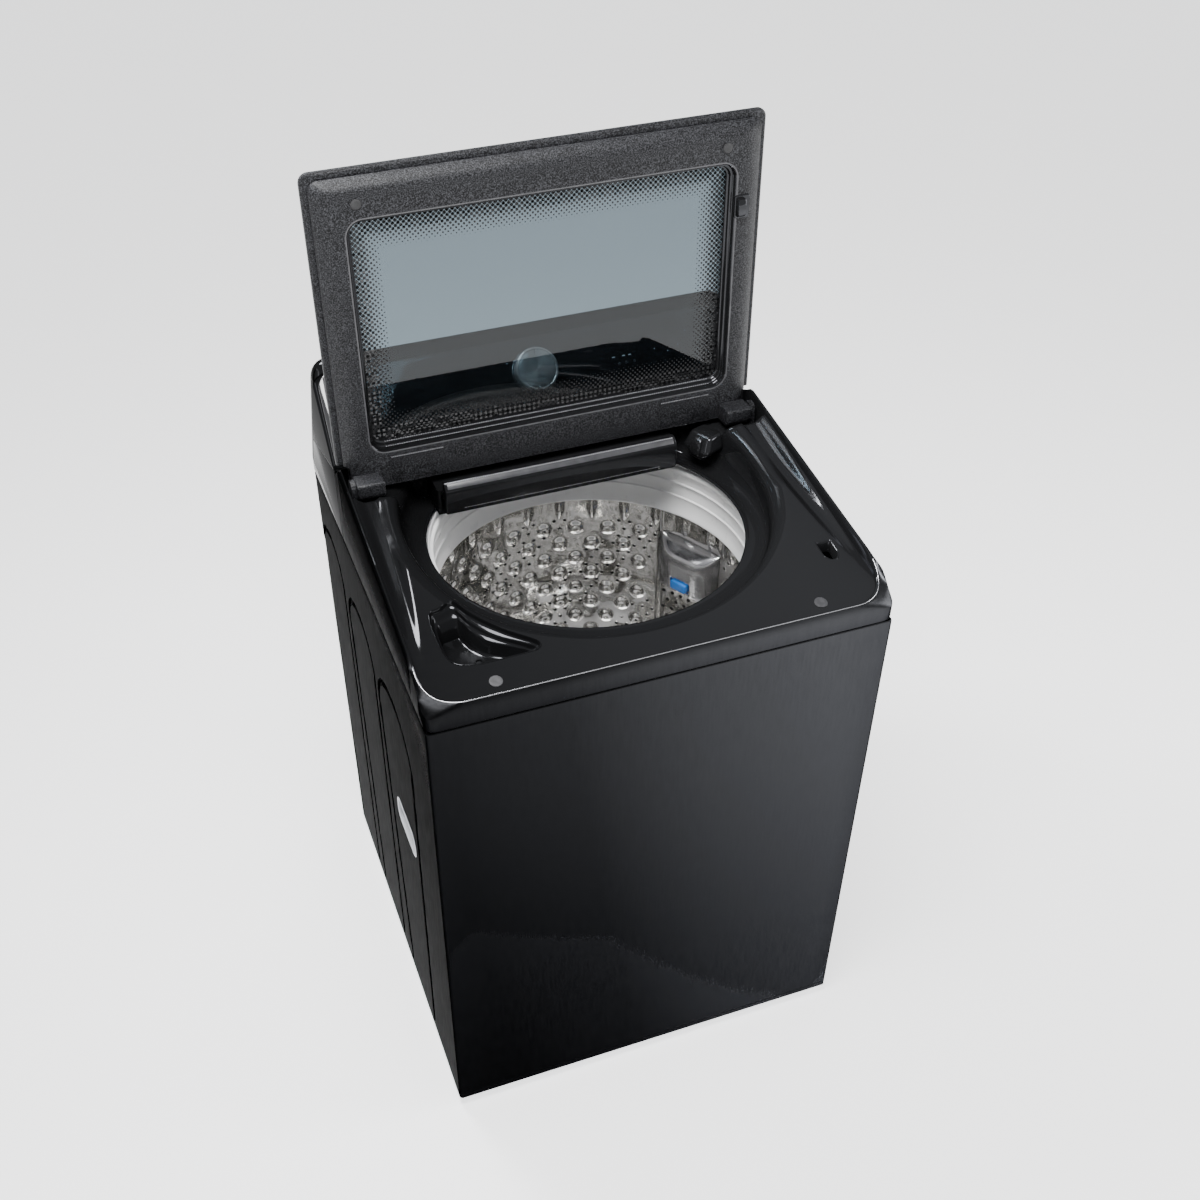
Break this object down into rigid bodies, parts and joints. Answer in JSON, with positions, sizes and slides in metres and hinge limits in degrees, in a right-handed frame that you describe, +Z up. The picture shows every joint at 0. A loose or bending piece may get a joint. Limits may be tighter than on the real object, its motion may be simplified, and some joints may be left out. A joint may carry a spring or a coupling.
{
  "type": "top load washing machine",
  "caption": "Top-loading washing machine with an open glass lid, hanging tub, spinning steel drum, detergent drawer and a rear control console.",
  "frame": {"origin": "centre of the bounding box on the floor, under the four levelling feet", "axes": "+Z up, +X to the right of somebody facing the machine, the front faces -Y"},
  "size_m": [0.686, 0.699, 1.4264],
  "materials": {
    "black_steel": "satin black paint with a fine metallic grain",
    "black_gloss": "glossy black moulded plastic",
    "black_glass": "opaque black glass, polished",
    "graphite_plastic": "dark graphite, finely speckled matte",
    "grey_rubber": "soft grey",
    "black_rubber": "matte black",
    "white_plastic": "off-white, slight gloss",
    "grey_plastic": "light grey moulded plastic",
    "stainless": "polished stainless steel",
    "galvanised": "zinc-coated sheet",
    "brushed_alloy": "radially brushed",
    "cast_alloy": "as cast",
    "tinted_glass": "clear tempered glass with a slight blue-grey tint",
    "dark_chrome": "plastic plated in dark chrome",
    "blue_plastic": "glossy blue",
    "circuit_board": "green board"
  },
  "bodies": {
    "cabinet": {"cabinet_shell": "black_steel", "handhold_cup_left": "grey_plastic", "handhold_cup_right": "grey_plastic", "rear_panel": "galvanised", "base_frame": "galvanised", "top_cover": "black_gloss", "bleach_cup": "black_gloss", "lid_pad_left": "grey_rubber", "lid_pad_right": "grey_rubber", "lid_lock": "black_gloss", "dispenser_housing": "black_gloss", "water_nozzle": "black_gloss", "hinge_bracket_left": "cast_alloy", "hinge_bracket_right": "cast_alloy", "console_housing": "black_gloss", "console_panel": "black_glass", "control_board": "circuit_board", "inlet_valve": "white_plastic", "drain_pump": "white_plastic", "drain_outlet": "grey_plastic", "cord_inlet": "black_rubber", "suspension_rod_front_left": "galvanised", "suspension_rod_front_right": "galvanised", "suspension_rod_rear_left": "galvanised", "suspension_rod_rear_right": "galvanised"},
    "tub": {"outer_tub": "grey_plastic", "tub_cover": "grey_plastic", "bearing_housing": "cast_alloy", "bearing_lower": "stainless", "bearing_upper": "stainless", "shaft_seal": "black_rubber", "motor_stator": "cast_alloy"},
    "basket": {"drum": "stainless", "balance_ring": "white_plastic", "drum_hub": "cast_alloy", "wash_channel": "stainless"},
    "wash_plate": {"pulsator": "white_plastic", "pulsator_cap": "grey_plastic", "drive_shaft": "stainless", "motor_rotor": "galvanised"},
    "filter": {"lint_filter": "dark_chrome"},
    "tab": {"filter_tab": "blue_plastic"},
    "drawer": {"drawer_front": "black_gloss", "drawer_tray": "grey_plastic", "softener_cap": "blue_plastic"},
    "knob": {"program_knob": "brushed_alloy"},
    "lid": {"lid_inner_frame": "graphite_plastic", "lid_outer_frame": "graphite_plastic", "lid_glass": "tinted_glass", "hinge_knuckle_left": "graphite_plastic", "hinge_knuckle_right": "graphite_plastic", "lid_bumper_left": "black_rubber", "lid_bumper_right": "black_rubber", "rail_cover_left": "graphite_plastic", "rail_cover_right": "graphite_plastic", "latch_strike": "black_gloss"},
    "foot_front_left": {"levelling_foot_front_left": "black_rubber"},
    "foot_front_right": {"levelling_foot_front_right": "black_rubber"},
    "foot_rear_left": {"levelling_foot_rear_left": "black_rubber"},
    "foot_rear_right": {"levelling_foot_rear_right": "black_rubber"}
  },
  "joints": [
    {"name": "lid_hinge", "type": "hinge", "parent": "cabinet", "child": "lid", "pos_m": [0, 0.084, 0.972], "axis": [1, 0, 0], "range_deg": [0, 104.5]},
    {"name": "drawer_slide", "type": "slide", "parent": "cabinet", "child": "drawer", "axis": [0, -1, 0], "range_m": [0, 0.13]},
    {"name": "knob_turn", "type": "hinge", "parent": "cabinet", "child": "knob", "pos_m": [0, 0.1908, 1.0511], "axis": [0, -0.8016, 0.5979], "continuous": true},
    {"name": "tub_bounce", "type": "slide", "parent": "cabinet", "child": "tub", "axis": [0, 0, 1], "range_m": [-0.02, 0.003], "stiffness_N_per_m": 20000, "springref_m": 0.01466},
    {"name": "drum_spin", "type": "hinge", "parent": "tub", "child": "basket", "pos_m": [0.01, -0.033, 0.2], "axis": [0, 0, 1], "continuous": true},
    {"name": "pulsator_spin", "type": "hinge", "parent": "tub", "child": "wash_plate", "pos_m": [0.01, -0.033, 0.2], "axis": [0, 0, 1], "continuous": true},
    {"name": "filter_pull", "type": "slide", "parent": "basket", "child": "filter", "axis": [-0.891, -0.454, 0], "range_m": [0, 0.05]},
    {"name": "tab_press", "type": "slide", "parent": "filter", "child": "tab", "axis": [0.891, 0.454, 0], "range_m": [0, 0.004], "stiffness_N_per_m": 600, "springref_m": -0.002},
    {"name": "foot_front_left_turn", "type": "hinge", "parent": "cabinet", "child": "foot_front_left", "pos_m": [-0.295, -0.295, 0], "axis": [0, 0, 1], "continuous": true},
    {"name": "foot_front_right_turn", "type": "hinge", "parent": "cabinet", "child": "foot_front_right", "pos_m": [0.295, -0.295, 0], "axis": [0, 0, 1], "continuous": true},
    {"name": "foot_rear_left_turn", "type": "hinge", "parent": "cabinet", "child": "foot_rear_left", "pos_m": [-0.295, 0.295, 0], "axis": [0, 0, 1], "continuous": true},
    {"name": "foot_rear_right_turn", "type": "hinge", "parent": "cabinet", "child": "foot_rear_right", "pos_m": [0.295, 0.295, 0], "axis": [0, 0, 1], "continuous": true}
  ]
}
